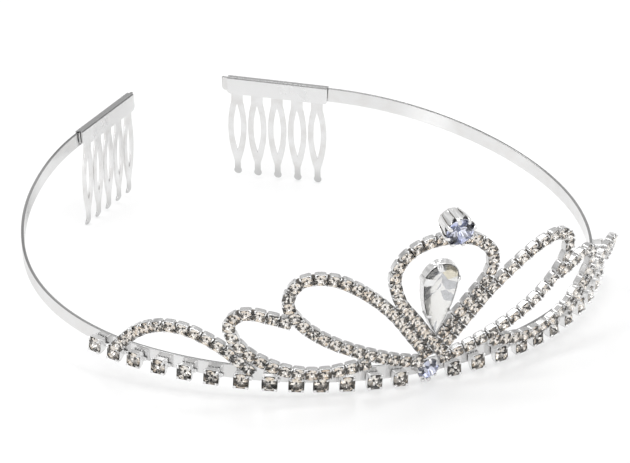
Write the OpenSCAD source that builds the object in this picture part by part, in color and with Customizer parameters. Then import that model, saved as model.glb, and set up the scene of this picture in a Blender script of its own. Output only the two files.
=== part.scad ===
/* [Band] */
// Height of the steel strip
band_w = 3.8; // [3.6:0.1:4]
// Thickness of the steel strip
band_t = 0.8; // [0.7:0.05:0.85]
// Lean of the strip's upper edge away from the head, in degrees
band_lean = 3; // [2:0.5:4]
// Height of the strip's lower edge over the table at the front
band_lift = 1.75; // [1.7:0.05:2.5]

/* [Row of cups] */
// Side of a square cup
cup_w = 4.2; // [3.8:0.1:4.4]
// Depth of a cup from its back to its rim
cup_d = 2.6; // [2:0.1:2.8]
// Width of the round seat in a cup's face
cup_seat = 3.6; // [3:0.1:3.6]
// Height of a cup's middle over the strip's lower edge
cup_rise = 0.6; // [0.4:0.1:0.8]

/* [Chain] */
// Width and depth of the cup chain, which each tube stands for
chain_d = 2.8; // [2.4:0.1:2.8]
// Lean of the chains' face beyond the strip's own lean, in degrees
chain_lean = 13.5; // [12:0.5:15]

/* [Stones] */
// Width of the round stone on the peak
top_w = 7.4; // [6.6:0.1:7.4]
// Width of the pear stone
pear_w = 9.4; // [8.6:0.1:9.6]
// Length of the pear stone from its round end to its point
pear_l = 22; // [20:0.5:22.5]
// Width of the round stone at the foot
base_w = 5.2; // [4.6:0.1:5.2]

/* [Combs] */
// Length of the folded clamp over a strip end
clamp_l = 28; // [27.5:0.5:30]
// Sheet thickness of a comb
comb_t = 0.6; // [0.5:0.05:0.6]
// Distance between the middles of two teeth
tooth_pitch = 5.6; // [5.5:0.1:5.8]
// Width of a tooth at its widest
tooth_w = 5.1; // [4.6:0.1:5.2]
// Reach of a tooth's tip below the strip's lower edge
tooth_drop = 24; // [23.9:0.1:24.3]

/* [Hidden] */
$fn = 48;
SIDES = ["l", "r"];
SIDE_SIGN = [-1, 1];

// Places of the row cups along the strip, from the middle outwards
CUP_AT = [7.5, 14.5, 21.5, 28, 34, 40.5, 47.5, 55, 62, 69, 76, 82, 88];

function two_figures(i) = str(i < 10 ? "0" : "", i);
function cup_name(side, i) = str("row_cup_", SIDES[side], two_figures(i));

// The strip's half as arcs seen from above. Columns: length, radius, slope at its end in degrees
BEND = [
    [15, 160, 3.5],
    [30, 62, 3],
    [30, 74, 4],
    [30, 70, 8.5],
    [30, 60, 12.5],
    [25, 78, 11],
    [33, 122, 3],
];
ARC_L = 0;
ARC_R = 1;
ARC_SLOPE = 2;

// The strip's front lies this far before the middle of the whole diadem
front_y = -64;
// Gap between pieces that are fixed on each other
seat_gap = 0.2;

// Routes of the chains on their standing face. Columns: place along the strip, height up the face
OUTER_ARC = [
    [79.2, 4.4], [75.3, 8.8], [71.3, 12.3], [67.2, 14.5], [63.5, 15.4], [59.8, 15.2],
    [56.5, 14], [53.2, 12.2], [50.4, 10.1], [47.9, 7.6], [45.3, 5],
];
SIDE_LOOP = [
    [36.4, 21.1], [40, 22.2], [43.3, 23], [46.2, 22.5], [48.6, 20.2], [49.2, 17.2],
    [48.2, 13.8], [46.2, 10.9], [44, 8.9], [41.2, 7.1], [38, 5.6], [34.6, 4.7],
    [31.3, 4.3], [28, 4.4], [24.5, 5], [21, 6], [17.8, 6.9],
];
LARGE_LOOP = [
    [3.1, 5.6], [6.4, 6.4], [10, 7.4], [13, 8.4], [16, 9.5], [18.8, 10.7], [22.2, 12.3], [25.6, 14.2],
    [28.7, 16.3], [31.4, 18.7], [33.6, 21.4], [35.3, 24.6], [35.8, 27.8], [35.1, 31], [33.4, 33.7], [31, 35],
    [28.3, 35.2], [25.5, 34.4], [22.8, 32.9], [20.2, 30.9], [17.6, 28.5], [15.1, 25.9], [12.8, 23.4],
    [10.8, 20.9], [8.85, 18.2], [7, 15.5], [5.1, 12.8], [3.2, 10.1], [1.7, 7.9],
];
CENTRE_LOOP = [
    [0.2, 11.1], [-1, 12.6], [-3.1, 15.4], [-5, 18.3], [-6.8, 20.8], [-8.8, 23.4],
    [-10.4, 26], [-11.7, 29.1], [-12.5, 32.2], [-12.6, 35.3], [-11.8, 38.3], [-10.1, 41],
    [-7.6, 43.1], [-4.6, 44.3], [-1.5, 44.7], [1.8, 44.5], [4.9, 43.6], [7.8, 42.1],
    [10.4, 39.7], [12.2, 37], [13, 34], [12.9, 31.2], [12, 28.6], [10.3, 26],
    [8.4, 23.4], [6.6, 20.9], [4.8, 18.4], [3.2, 16], [2.2, 14.3],
];

// Course of the strip: each arc starts where the last one ends
function arc_start(i) = i == 0 ? 0 : arc_start(i - 1) + BEND[i - 1][ARC_L];
function turn_at(i) = i == 0 ? 0 : turn_at(i - 1) + degrees(BEND[i - 1][ARC_L] / BEND[i - 1][ARC_R]);
function degrees(turn) = turn * 180 / PI;
function steep(i) = i == 0 ? 0 : tan(BEND[i - 1][ARC_SLOPE]);
function swing(radius, from, to) = radius * [sin(to) - sin(from), cos(from) - cos(to)];
function corner_at(i) = i == 0 ? [0, 0] : corner_at(i - 1) + swing(BEND[i - 1][ARC_R], TURN[i - 1], TURN[i]);
function rise_at(i) = i == 0 ? 0 : rise_at(i - 1) + BEND[i - 1][ARC_L] * (steep(i - 1) + steep(i)) / 2;

arcs = len(BEND);
START = [for (i = [0:arcs]) arc_start(i)];
TURN = [for (i = [0:arcs]) turn_at(i)];
CORNER = [for (i = [0:arcs]) corner_at(i)];
RISE = [for (i = [0:arcs]) rise_at(i)];
bend_l = START[arcs];

function arc_of(s) = max([for (i = [0:arcs]) if (s >= START[i]) i]);
function turn(s) =
    let (i = arc_of(s))
    i == arcs ? TURN[arcs] : TURN[i] + degrees((s - START[i]) / BEND[i][ARC_R]);
function plan(s) =
    let (i = arc_of(s), past = s - START[i])
    i == arcs
        ? CORNER[i] + past * [cos(TURN[i]), sin(TURN[i])]
        : CORNER[i] + swing(BEND[i][ARC_R], TURN[i], turn(s));
function gradient(s) =
    let (i = arc_of(s))
    i == arcs ? steep(arcs) : steep(i) + (steep(i + 1) - steep(i)) * (s - START[i]) / BEND[i][ARC_L];
function rise(s) =
    let (i = arc_of(s))
    RISE[i] + (s - START[i]) * (steep(i) + gradient(s)) / 2;

// Places and directions at s, the length along the strip, negative on the viewer's left
function side_of(s) = s < 0 ? -1 : 1;
function path(s) =
    let (xy = plan(abs(s)))
    [side_of(s) * xy.x, front_y + xy.y, band_lift + rise(abs(s))];
function level_out(s) = [side_of(s) * sin(turn(abs(s))), -cos(turn(abs(s))), 0];
function out(s) = cos(band_lean) * level_out(s) - sin(band_lean) * [0, 0, 1];
function up(s) = cos(band_lean) * [0, 0, 1] + sin(band_lean) * level_out(s);
function along(s) =
    let (h = turn(abs(s)))
    unit([cos(h), side_of(s) * sin(h), side_of(s) * gradient(abs(s))]);
function unit(v) = v / norm(v);

// Frame on the strip's lower inner edge: x along to the viewer's right, y into the head, z up the strip
function strip_frame(s) =
    let (p = path(s), x = along(s), y = unit(cross(up(s), x)), z = cross(x, y))
    [
        [x.x, y.x, z.x, p.x],
        [x.y, y.y, z.y, p.y],
        [x.z, y.z, z.z, p.z],
    ];

// The chains' standing face, at height r up the face and off in front of it
face_out = 4.2;
function face_up(s) = cos(chain_lean) * up(s) + sin(chain_lean) * out(s);
function face_front(s) = cos(chain_lean) * out(s) - sin(chain_lean) * up(s);
function stand(s, r, off) = path(s) + face_out * out(s) + r * face_up(s) + off * face_front(s);

// A solid through rings that all have the same number of corners
module skin(rings) {
    sides = len(rings[0]);
    last = len(rings) - 1;
    corners = [for (ring = rings) each ring];
    walls = [
        for (i = [0:last - 1], k = [0:sides - 1])
            let (a = i * sides + k, b = i * sides + (k + 1) % sides)
            each [[a, b, b + sides], [a, b + sides, a + sides]]
    ];
    first_cap = [for (k = [sides - 1:-1:0]) k];
    last_cap = [for (k = [0:sides - 1]) last * sides + k];
    polyhedron(corners, concat(walls, [first_cap, last_cap]));
}

// Band: a flat strip whose ends stick out of the clamps, with their lower corner rounded
band_end = bend_l + clamp_l + 1.5;
end_round = 1.2;
station_step = 5;
straight_end = band_end - end_round;
function round_reach(a) = straight_end + end_round * sin(a);
function round_lift(s) =
    let (past = max(0, abs(s) - straight_end))
    end_round - sqrt(max(0, end_round * end_round - past * past));
function strip_ring(s) =
    let (low = path(s) + round_lift(s) * up(s), high = path(s) + band_w * up(s))
    [low, low + band_t * out(s), high + band_t * out(s), high];

module band() {
    spans = 2 * round(straight_end / station_step);
    stations = concat(
        [for (a = [90, 60, 30]) -round_reach(a)],
        [for (k = [0:spans]) straight_end * (2 * k / spans - 1)],
        [for (a = [30, 60, 90]) round_reach(a)]
    );
    color("gainsboro") skin([for (s = stations) strip_ring(s)]);
}

// Clamp: sheet folded over the strip's end and the comb's top bar, open at both ends and below
clamp_sheet = 0.3;
clamp_gap = 0.12;
clamp_fold = 0.5;
clamp_skirt = 0.5;
clamp_top = band_w + clamp_gap + clamp_sheet;
clamp_out = -band_t - clamp_gap - clamp_sheet;
clamp_in = 2 * clamp_gap + comb_t + clamp_sheet;

// Outline across the clamp, with x into the head and y up
module clamp_section() {
    span = clamp_in - clamp_out;
    difference() {
        union() {
            translate([clamp_out, -clamp_skirt]) square([span, clamp_top + clamp_skirt - clamp_fold]);
            translate([clamp_out + clamp_fold, 0]) square([span - 2 * clamp_fold, clamp_top]);
            for (x = [clamp_out + clamp_fold, clamp_in - clamp_fold])
                translate([x, clamp_top - clamp_fold]) circle(clamp_fold);
        }
        translate([clamp_out + clamp_sheet, -2 * clamp_skirt])
            square([span - 2 * clamp_sheet, band_w + clamp_gap + 2 * clamp_skirt]);
    }
}

module clamp_right() {
    color("silver") multmatrix(strip_frame(bend_l))
        rotate([90, 0, 90]) linear_extrude(clamp_l) clamp_section();
}

module clamp_left() {
    mirror([1, 0, 0]) clamp_right();
}

// Comb: one stamped sheet, a bar inside the clamp and five slotted teeth below it
teeth = 5;
bar_inset = 0.6;
bar_low = 0.4;
neck_w = 3.2;
neck_l = 3;
root_top = bar_low + 0.2;
slot_w = 2.1;
slot_l = 13.6;
lens_l = 24;
lens_mid = 10.1;
tip_r = 1.03;
tip_neck_w = 1.6;
tip_l = 4;
// The teeth hang straight down, so they turn back by the strip's slope and out by its lean
hang_back = BEND[arcs - 1][ARC_SLOPE];
hang_out = band_lean;

// Pointed lens between two equal arcs, long in y
module lens(width, length) {
    radius = (length * length + width * width) / (4 * width);
    intersection() {
        translate([radius - width / 2, 0]) circle(radius, $fn = 180);
        translate([width / 2 - radius, 0]) circle(radius, $fn = 180);
    }
}

// One tooth, with y = 0 at the strip's lower edge
module tooth() {
    difference() {
        union() {
            translate([-neck_w / 2, -neck_l]) square([neck_w, neck_l + root_top]);
            translate([0, -lens_mid]) lens(tooth_w, lens_l);
            translate([-tip_neck_w / 2, tip_r - tooth_drop]) square([tip_neck_w, tip_l]);
            translate([0, tip_r - tooth_drop]) circle(tip_r);
        }
        translate([0, -lens_mid]) lens(slot_w, slot_l);
        translate([-tooth_w / 2, root_top]) square(tooth_w);
    }
}

module comb_right() {
    first = (clamp_l - (teeth - 1) * tooth_pitch) / 2;
    color("whitesmoke") multmatrix(strip_frame(bend_l)) translate([0, clamp_gap + comb_t, 0]) {
        rotate([90, 0, 0]) linear_extrude(comb_t)
            translate([bar_inset, bar_low]) square([clamp_l - 2 * bar_inset, band_w - bar_low]);
        rotate([90 - hang_out, 0, 0]) linear_extrude(comb_t)
            for (j = [0:teeth - 1]) translate([first + j * tooth_pitch, 0]) rotate(-hang_back) tooth();
    }
}

module comb_left() {
    mirror([1, 0, 0]) comb_right();
}

// Row cup: a square box with a round seat, a claw up each corner, and the stub of a link on its right
claw_r = 0.45;
claw_in = 0.35;
claw_h = 0.25;
seat_depth = 1.4;
stub_r = 0.6;
stub_t = 0.5;

module row_cup(s) {
    corner = cup_w / 2 - claw_in;
    color("silver") multmatrix(strip_frame(s))
        translate([0, -band_t - seat_gap, cup_rise]) rotate([90, 0, 0]) difference() {
            union() {
                translate([-cup_w / 2, -cup_w / 2, 0]) cube([cup_w, cup_w, cup_d]);
                for (x = [-corner, corner], y = [-corner, corner]) translate([x, y, 0]) {
                    cylinder(r = claw_r, h = cup_d + claw_h);
                    translate([0, 0, cup_d + claw_h]) sphere(claw_r);
                }
                translate([cup_w / 2, 0, 0]) cylinder(r = stub_r, h = stub_t);
            }
            translate([0, 0, cup_d - seat_depth])
                cylinder(r1 = cup_seat / 2 - seat_depth / 2, r2 = cup_seat / 2, h = seat_depth);
        }
}

// Chains: an eight-sided tube through a route on the standing face
chain_sides = 8;
function chain_ring(p, dir, front) =
    let (across = unit(cross(dir, front)), over = cross(across, dir))
    [
        for (k = [0:chain_sides - 1])
            let (a = (k + 0.5) * 360 / chain_sides)
            p + chain_d / 2 * (cos(a) * across + sin(a) * over)
    ];

module chain(route, side) {
    last = len(route) - 1;
    at = [for (q = route) stand(side * q[0], q[1], -chain_d / 2)];
    front = [for (q = route) face_front(side * q[0])];
    rings = [
        for (i = [0:last])
            chain_ring(at[i], unit(at[min(i + 1, last)] - at[max(i - 1, 0)]), front[i])
    ];
    color("wheat") skin(rings);
}

module outer_arc_left() {
    chain(OUTER_ARC, -1);
}

module outer_arc_right() {
    chain(OUTER_ARC, 1);
}

module side_loop_left() {
    chain(SIDE_LOOP, -1);
}

module side_loop_right() {
    chain(SIDE_LOOP, 1);
}

module large_loop_left() {
    chain(LARGE_LOOP, -1);
}

module large_loop_right() {
    chain(LARGE_LOOP, 1);
}

module centre_loop() {
    chain(CENTRE_LOOP, 1);
}

// Middle of the diadem: x to the viewer's right, y up the chains' face, z out of it
module on_face(r, off) {
    translate(stand(0, r, off)) rotate([90 + band_lean + chain_lean, 0, 0]) children();
}

// Cut of a round stone, as shares of its width: half its girdle, its crown, its table and its point
girdle_share = 0.04;
crown_share = 0.16;
table_share = 0.6;
point_share = 0.42;

// Round stone with its girdle about z = 0
module round_stone(width, depth) {
    r = width / 2;
    girdle = girdle_share * width;
    table = girdle + crown_share * width;
    rotate_extrude() polygon([[0, -depth], [r, -girdle], [r, girdle], [table_share * r, table], [0, table]]);
}

// Radius of a round setting's rim, outside
stone_gap = 0.1;
function rim_r(width, wall) = width / 2 + stone_gap + wall;
// Height of the straight rim, as a share of the stone's width
rim_share = 0.08;
// Radius of an arch, as a share of the rim's chord between two claws
arch_share = 0.3;

// Round setting: a cup that widens from its closed back to a straight rim, cut in arches between
// the claws, which fold over the stone's edge
module round_setting(width, depth, back_w, wall, claws, claw) {
    r = rim_r(width, wall);
    rim = rim_share * width;
    back = back_w / 2;
    floor_z = wall - depth;
    claw_turn = 360 / claws;
    difference() {
        rotate_extrude() polygon([
            [0, -depth], [back, -depth], [r, -rim], [r, 0],
            [r - wall, 0], [r - wall, -rim], [back - wall, floor_z], [0, floor_z]
        ]);
        for (k = [0:claws - 1]) rotate((k + 0.5) * claw_turn)
            translate([back - wall, 0, 0]) rotate([0, 90, 0])
                cylinder(r = arch_share * r * sin(claw_turn), h = r);
    }
    for (k = [0:claws - 1]) rotate(k * claw_turn) translate([r, 0, 0]) {
        translate([0, 0, -2 * claw]) cylinder(r = claw, h = 2.5 * claw);
        translate([0, 0, 0.5 * claw]) sphere(claw);
    }
}

// Top stone: its setting stands on the crest of the centre loop
top_r = 49.9;
top_off = 3.8;
top_depth = 6;
top_back_w = 6.8;
top_wall = 0.4;
top_claw_r = 0.42;
round_claws = 8;

module top_setting() {
    color("silver") on_face(top_r, top_off)
        round_setting(top_w, top_depth, top_back_w, top_wall, round_claws, top_claw_r);
}

module top_stone() {
    color("lavender") on_face(top_r, top_off) round_stone(top_w, point_share * top_w);
}

// Foot stone: its setting lies on the strip, with two long claws that reach down to the table
base_r = 2.1;
base_off = -1.1;
base_depth = 2.1;
base_back_w = 4.4;
base_wall = 0.35;
base_claw_r = 0.32;
foot_claw_r = 0.55;
foot_claw_x = 0.75;
foot_claw_drop = 0.35;

module base_setting() {
    color("silver") on_face(base_r, base_off) {
        round_setting(base_w, base_depth, base_back_w, base_wall, round_claws, base_claw_r);
        for (x = [-foot_claw_x, foot_claw_x])
            translate([x, -rim_r(base_w, base_wall) - foot_claw_drop, -foot_claw_r]) sphere(foot_claw_r);
    }
}

module base_stone() {
    color("lightsteelblue") on_face(base_r, base_off) round_stone(base_w, base_depth - 2 * base_wall);
}

// Pear stone: round end up, its point down between the ends of the centre loop
pear_r = 31.7;
pear_off = -0.6;
pear_s = -0.6;
pear_turn = 2;
pear_back = 2.2;
pear_wall = 0.4;
pear_claw_r = 0.5;
pear_claw_h = 0.4;
pear_claw_out = 0.15;
pear_round = pear_w / 2;
pear_drop = pear_l - pear_round;
// Radius of the two arcs that run from the round end to the point
pear_flank = (pear_drop * pear_drop + pear_round * pear_round) / (2 * pear_round);

// Half width of the teardrop at y below the middle of its round end
function teardrop_half(y) = sqrt(pear_flank * pear_flank - y * y) - (pear_flank - pear_round);

module on_pear() {
    on_face(pear_r, pear_off) translate([pear_s, 0, 0]) rotate([0, 0, pear_turn]) children();
}

// Teardrop with its round end about the middle and its point down, widened all round by grow
module teardrop(grow) {
    arc_x = pear_flank - pear_round;
    circle(pear_round + grow);
    intersection() {
        translate([arc_x, 0]) circle(pear_flank + grow, $fn = 180);
        translate([-arc_x, 0]) circle(pear_flank + grow, $fn = 180);
        translate([-pear_w, -2 * pear_l]) square([2 * pear_w, 2 * pear_l]);
    }
}

// Layers of the pear stone. Columns: lowest z, thickness, inset from the full outline
PEAR_LAYERS = [[-1.5, 1, 0.9], [-0.6, 1.2, 0.1], [0.5, 0.7, 1]];

module pear_stone() {
    color("honeydew") on_pear()
        for (layer = PEAR_LAYERS) translate([0, 0, layer[0]]) linear_extrude(layer[1]) teardrop(-layer[2]);
}

// Heights of the pear's side claws, from the middle of its round end
PEAR_CLAW_Y = [-1.4, -12.6];

module pear_claw(x, y) {
    translate([x, y, -pear_back]) {
        cylinder(r = pear_claw_r, h = pear_back + pear_claw_h);
        translate([0, 0, pear_back + pear_claw_h]) sphere(pear_claw_r);
    }
}

module pear_setting() {
    // The claws' middles lie this far outside the stone
    reach = pear_wall + pear_claw_out;
    color("silver") on_pear() {
        difference() {
            translate([0, 0, -pear_back]) linear_extrude(pear_back) teardrop(pear_wall);
            translate([0, 0, pear_wall - pear_back]) linear_extrude(pear_back) teardrop(0);
        }
        pear_claw(0, pear_round + reach);
        for (y = PEAR_CLAW_Y, side = SIDE_SIGN) pear_claw(side * (teardrop_half(y) + reach), y);
    }
}

band();
clamp_left();
clamp_right();
comb_left();
comb_right();
for (side = [0, 1], i = [1:len(CUP_AT)])
    row_cup(SIDE_SIGN[side] * CUP_AT[i - 1]);
outer_arc_left();
outer_arc_right();
side_loop_left();
side_loop_right();
large_loop_left();
large_loop_right();
centre_loop();
top_setting();
top_stone();
pear_setting();
pear_stone();
base_setting();
base_stone();
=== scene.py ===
"""Diadem: chains of small rhinestones stand on a bent steel strip, and a comb is clamped on each end."""
import math
import random

import bpy
from mathutils import Matrix, Vector


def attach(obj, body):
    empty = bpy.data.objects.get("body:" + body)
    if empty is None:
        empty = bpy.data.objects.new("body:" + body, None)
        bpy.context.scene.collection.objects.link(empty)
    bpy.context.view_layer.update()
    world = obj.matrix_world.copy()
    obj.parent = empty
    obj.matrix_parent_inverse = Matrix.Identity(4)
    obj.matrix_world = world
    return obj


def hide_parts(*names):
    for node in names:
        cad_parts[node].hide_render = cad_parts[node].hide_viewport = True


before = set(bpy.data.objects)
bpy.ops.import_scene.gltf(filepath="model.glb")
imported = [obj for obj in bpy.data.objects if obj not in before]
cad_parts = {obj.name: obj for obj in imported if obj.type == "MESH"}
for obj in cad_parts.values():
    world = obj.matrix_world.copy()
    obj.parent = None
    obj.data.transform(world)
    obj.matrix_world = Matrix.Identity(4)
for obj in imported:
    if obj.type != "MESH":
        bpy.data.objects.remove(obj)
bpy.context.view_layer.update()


# Band: one flat strip of polished steel, bent into an open horseshoe that climbs to its two free ends.
# It is cut from sheet and its edges are rounded over. Everything else is soldered or clamped onto it.
mm = 0.001
band_height = 3.8 * mm
band_thick = 0.8 * mm
band_lean = math.radians(3)
band_lift = 1.75 * mm
band_front = -64 * mm
band_edge = 0.16 * mm
# Bends from the middle outwards: length and radius in mm, and the slope in degrees that each ends at
BENDS = [
    (15, 160, 3.5),
    (30, 62, 3),
    (30, 74, 4),
    (30, 70, 8.5),
    (30, 60, 12.5),
    (25, 78, 11),
    (33, 122, 3),
]
bent_length = sum(length for length, radius, slope in BENDS) * mm
clamp_length = 28 * mm
band_end = bent_length + clamp_length + 1.5 * mm
end_corner = 1.2 * mm
station_gap = 1.5 * mm


def course(s):
    """The strip at s from its middle, negative on the viewer's left: its place, and along, out and up"""
    side = -1 if s < 0 else 1
    x = y = climb = turn = slope = 0
    left = abs(s)
    for length, radius, end_slope in BENDS:
        part = min(left, length * mm)
        next_turn = turn + part / (radius * mm)
        next_slope = slope + (math.tan(math.radians(end_slope)) - slope) * part / (length * mm)
        x += radius * mm * (math.sin(next_turn) - math.sin(turn))
        y += radius * mm * (math.cos(turn) - math.cos(next_turn))
        climb += part * (slope + next_slope) / 2
        turn = next_turn
        slope = next_slope
        left -= part
    x += left * math.cos(turn)
    y += left * math.sin(turn)
    climb += left * slope
    level = Vector((side * math.sin(turn), -math.cos(turn), 0))
    upright = Vector((0, 0, 1))
    out = math.cos(band_lean) * level - math.sin(band_lean) * upright
    up = math.cos(band_lean) * upright + math.sin(band_lean) * level
    along = Vector((math.cos(turn), side * math.sin(turn), side * slope)).normalized()
    return Vector((side * x, band_front + y, band_lift + climb)), along, out, up


def axes(place, x, y, z):
    """Matrix that lays a part down at a place, with these directions for its own x, y and z"""
    return Matrix.LocRotScale(place, Matrix((x, y, z)).transposed(), None)


def on_strip(s):
    """Matrix at the strip's lower inner edge: x along it, y into the head, z up the strip"""
    place, along, out, up = course(s)
    inward = up.cross(along).normalized()
    return axes(place, along, inward, along.cross(inward))


def skin(rings):
    """Points and faces of a closed skin through rings that all have the same number of points"""
    count = len(rings[0])
    points = [point for ring in rings for point in ring]
    faces = [tuple(reversed(range(count)))]
    for first in range(0, len(points) - count, count):
        for k in range(count):
            a = first + k
            b = first + (k + 1) % count
            faces.append((a, b, b + count, a + count))
    faces.append(tuple(range(len(points) - count, len(points))))
    return points, faces


def rounded_outline(low_x, high_x, low_y, high_y, corner):
    """Outline of a rectangle with rounded corners, anticlockwise"""
    steps = 3
    outline = []
    centres = [
        (high_x - corner, high_y - corner),
        (low_x + corner, high_y - corner),
        (low_x + corner, low_y + corner),
        (high_x - corner, low_y + corner),
    ]
    for quarter, (x, y) in enumerate(centres):
        for step in range(steps + 1):
            angle = math.radians(90 * (quarter + step / steps))
            outline.append((x + corner * math.cos(angle), y + corner * math.sin(angle)))
    return outline


class Work:
    """Mesh parts gathered for one piece, each with its finish, its own grain and the lot it came from"""

    def __init__(self):
        self.points = []
        self.faces = []
        self.finishes = []
        self.smooth = []
        self.grain = []
        self.lots = []

    def add(self, points, faces, place=Matrix(), finish=0, smooth=True, lot=0.5, grain=None):
        """Lays a part in place. finish is one number, or one for each face"""
        first = len(self.points)
        flipped = place.determinant() < 0
        self.points += [place @ Vector(point) for point in points]
        for face in faces:
            turned = reversed(face) if flipped else face
            self.faces.append([first + k for k in turned])
        self.finishes += finish if isinstance(finish, list) else [finish] * len(faces)
        self.smooth += [smooth] * len(faces)
        self.grain += [tuple(point) for point in (grain or points)]
        self.lots += [lot] * len(points)

    def piece(self, name, *finishes):
        """The object made of everything that was added"""
        mesh = bpy.data.meshes.new(name)
        mesh.from_pydata(self.points, [], self.faces)
        for finish in finishes:
            mesh.materials.append(finish)
        mesh.polygons.foreach_set("material_index", self.finishes)
        mesh.polygons.foreach_set("use_smooth", self.smooth)
        grain = mesh.attributes.new("grain", "FLOAT_VECTOR", "POINT")
        grain.data.foreach_set("vector", [value for point in self.grain for value in point])
        lots = mesh.attributes.new("lot", "FLOAT", "POINT")
        lots.data.foreach_set("value", self.lots)
        mesh.set_sharp_from_angle(angle=math.radians(40))
        made = bpy.data.objects.new(name, mesh)
        bpy.context.scene.collection.objects.link(made)
        even = made.modifiers.new("even_shading", "WEIGHTED_NORMAL")
        even.keep_sharp = True
        return made


class Wire:
    """A socket in a node tree. Sums, differences and products of wires add their own Math nodes."""

    def __init__(self, tree, socket=None):
        self.tree = tree
        self.socket = socket

    def node(self, kind, settings, inputs, out=0):
        """Adds a node, sets it up, joins or fills its inputs, and gives the wire of one output"""
        made = self.tree.nodes.new(kind)
        for name, value in settings.items():
            setattr(made, name, value)
        for name, value in inputs.items():
            if isinstance(value, Wire):
                self.tree.links.new(value.socket, made.inputs[name])
            else:
                made.inputs[name].default_value = value
        return Wire(self.tree, made.outputs[out] if made.outputs else None)

    def math(self, operation, first, second=0.0):
        """A Math node on two numbers or wires"""
        return self.node("ShaderNodeMath", {"operation": operation}, {0: first, 1: second})

    def __add__(self, other):
        return self.math("ADD", self, other)

    __radd__ = __add__

    def __sub__(self, other):
        return self.math("SUBTRACT", self, other)

    def __rsub__(self, other):
        return self.math("SUBTRACT", other, self)

    def __mul__(self, other):
        return self.math("MULTIPLY", self, other)

    __rmul__ = __mul__

    def axis(self, letter):
        """This vector's value along one axis"""
        return self.node("ShaderNodeSeparateXYZ", {}, {"Vector": self}, out=letter)

    def stretch(self, factors):
        """This vector times one factor for each axis"""
        return self.node("ShaderNodeVectorMath", {"operation": "MULTIPLY"}, {0: self, 1: factors})

    def noise(self, scale, detail):
        """Soft noise over this vector, with its scale in each metre"""
        return self.node("ShaderNodeTexNoise", {}, {"Vector": self, "Scale": scale, "Detail": detail})

    def rise(self, low, high):
        """0 where this value is below low, 1 where it is above high, and a soft step between"""
        settings = {"interpolation_type": "SMOOTHSTEP"}
        return self.node("ShaderNodeMapRange", settings, {"Value": self, "From Min": low, "From Max": high})

    def mix(self, colour_at_0, colour_at_1):
        """A colour between two, as this value goes from 0 to 1"""
        inputs = {"Factor": self, 6: colour_at_0, 7: colour_at_1}
        return self.node("ShaderNodeMix", {"data_type": "RGBA"}, inputs, out=2)


def grey(value, warmth=0.0):
    """A nearly neutral colour, warmer above 0 and cooler below it"""
    return (value * (1 + warmth), value, value * (1 - warmth), 1)


def new_finish(name):
    """An empty material and the wire that its nodes start from"""
    material = bpy.data.materials.new(name)
    material.use_nodes = True
    material.node_tree.nodes.clear()
    return material, Wire(material.node_tree)


def stored(wire, name, out):
    """What Work stored on the mesh's points under this name"""
    return wire.node("ShaderNodeAttribute", {"attribute_name": name}, {}, out=out)


def end_surface(wire, inputs):
    """Ends a finish's nodes in one surface with these inputs"""
    surface = wire.node("ShaderNodeBsdfPrincipled", {}, inputs)
    wire.node("ShaderNodeOutputMaterial", {}, {"Surface": surface})


def metal_finish(name, bright, dull, gloss, stretch, relief, mirror=1.0, dark_tint=None, dark_where=None):
    """Metal with soft patches of tint and gloss, and a fine grain along the way that it was rubbed.
    gloss is the lowest and highest roughness, and stretch the grain's lines in each metre, each way.
    mirror falls below 1 for a milky plating. The last two give a dark tint and a mask made from the grain
    for where it goes in: painted shade on the strip and the clamps, and darker necks and tips on the combs'
    teeth."""
    material, wire = new_finish(name)
    grain = stored(wire, "grain", "Vector")
    handled = grain.noise(scale=260.0, detail=4.0).rise(0.35, 0.7)
    lines = grain.stretch(stretch).noise(scale=1.0, detail=3.0)
    colour = handled.mix(bright, dull)
    # Mixes in the dark tint where the mask says: painted shade on the strip and the clamps
    if dark_where:
        colour = dark_where(grain).mix(colour, dark_tint)
    roughness = gloss[0] + (gloss[1] - gloss[0]) * (0.6 * handled + 0.4 * lines)
    bump = wire.node("ShaderNodeBump", {}, {"Strength": relief, "Distance": 0.02 * mm, "Height": lines})
    inputs = {"Base Color": colour, "Metallic": mirror, "Roughness": roughness, "Normal": bump}
    end_surface(wire, inputs)
    return material


def painted_shade_stretches(grain):
    """Where painted shade darkens the strip, from its grain: past the bend on the left, and along its upper
    edge
    """
    along = grain.axis("X")
    height = grain.axis("Y")
    left_bend = along.rise(-172 * mm, -150 * mm) * (1 - along.rise(-138 * mm, -108 * mm))
    upper_edge = height.rise(band_height - 0.24 * mm, band_height - 0.1 * mm)
    return left_bend.math("MAXIMUM", 0.8 * left_bend, upper_edge)


# The strip's colour carries painted shade past the bend on the left and along its upper edge
band_steel = metal_finish(
    "band_steel",
    bright=grey(0.76),
    dull=grey(0.73, 0.01),
    gloss=(0.1, 0.18),
    stretch=(120, 5000, 5000),
    relief=0.05,
    dark_tint=grey(0.43),
    dark_where=painted_shade_stretches,
)


def strip_ring(s, inset):
    """The strip's section at s, with its edges rounded and everything drawn in by the inset"""
    place, along, out, up = course(s)
    past = max(0, abs(s) - (band_end - end_corner))
    low = end_corner - math.sqrt(max(0, end_corner ** 2 - past ** 2))
    outline = rounded_outline(inset - band_thick, -inset, low + inset, band_height - inset, band_edge)
    points = [place - y * out + z * up for y, z in outline]
    return points, [(s, z, y) for y, z in outline]


count = round((band_end - end_corner) / station_gap)
half = [((band_end - end_corner) * k / count, 0) for k in range(1, count + 1)]
half += [(band_end - end_corner * (1 - math.sin(math.radians(turn))), 0) for turn in (15, 30, 45, 60)]
half += [(band_end - 0.4 * band_edge, 0), (band_end, 0.4 * band_edge)]
stations = [(-s, inset) for s, inset in reversed(half)] + [(0, 0)] + half
rings = [strip_ring(s, inset) for s, inset in stations]
points, faces = skin([ring for ring, grain in rings])
work = Work()
work.add(points, faces, grain=[point for ring, grain in rings for point in grain])
band = work.piece("band_strip", band_steel)
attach(band, "root")
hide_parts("band")


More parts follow.
